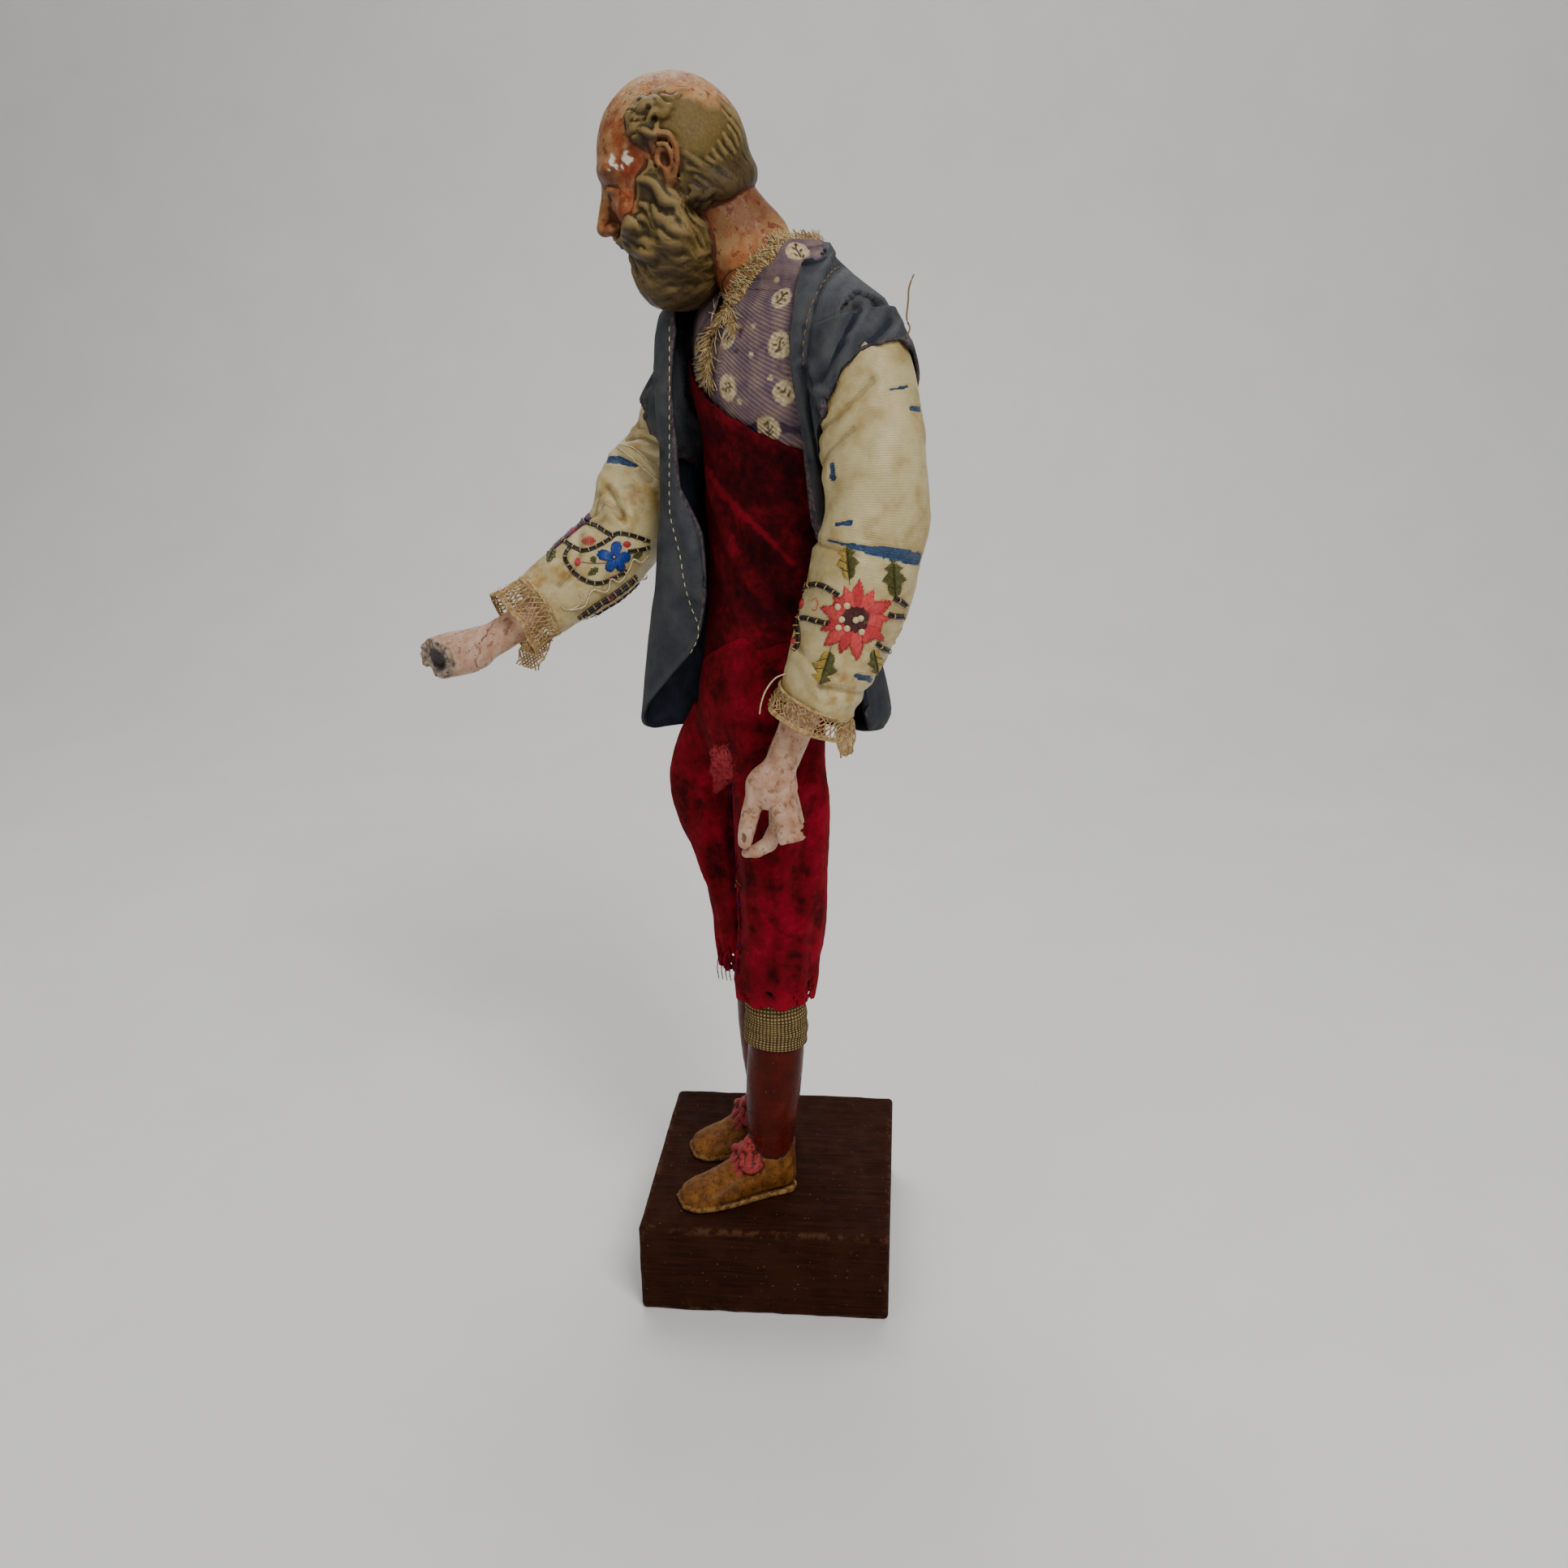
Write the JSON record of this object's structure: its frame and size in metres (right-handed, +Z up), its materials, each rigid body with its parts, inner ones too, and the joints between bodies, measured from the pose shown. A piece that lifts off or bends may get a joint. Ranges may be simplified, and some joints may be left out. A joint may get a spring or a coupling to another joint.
{
  "type": "presepe figure",
  "caption": "Standing dressed nativity figure of a bearded old man with one arm held out, in an open jacket and velvet breeches, on a wooden block.",
  "frame": {"origin": "middle of the wooden block's flat underside", "axes": "+Z up, -Y where the shoes point, +X towards the figure's left side"},
  "size_m": [0.1061, 0.1679, 0.4068],
  "materials": {
    "stained_wood": "dull wax over a dark red-brown stain",
    "painted_wood": "glossy oxblood paint on the stockings, worn ochre paint on the shoes",
    "knit": "coarse knit",
    "velvet": "worn crimson velvet",
    "shirt_cloth": "ribbed cotton with woven roundels",
    "painted_terracotta": "satin oil paint with wear and small chips",
    "painted_hand": "satin flesh paint, scuffed",
    "sleeve_silk": "stained ivory satin with embroidery",
    "lace": "ecru net lace",
    "jacket_silk": "slate blue silk with a dark lining"
  },
  "bodies": {
    "root": {"base_block": "stained_wood", "left_leg": "painted_wood", "right_leg": "painted_wood", "left_knee_band": "knit", "breeches": "velvet", "waistcoat": "velvet", "shirt": "shirt_cloth", "head": "painted_terracotta", "left_hand": "painted_hand", "right_hand": "painted_hand", "left_sleeve": "sleeve_silk", "right_sleeve": "sleeve_silk", "left_cuff": "lace", "right_cuff": "lace", "jacket": "jacket_silk"}
  },
  "joints": []
}
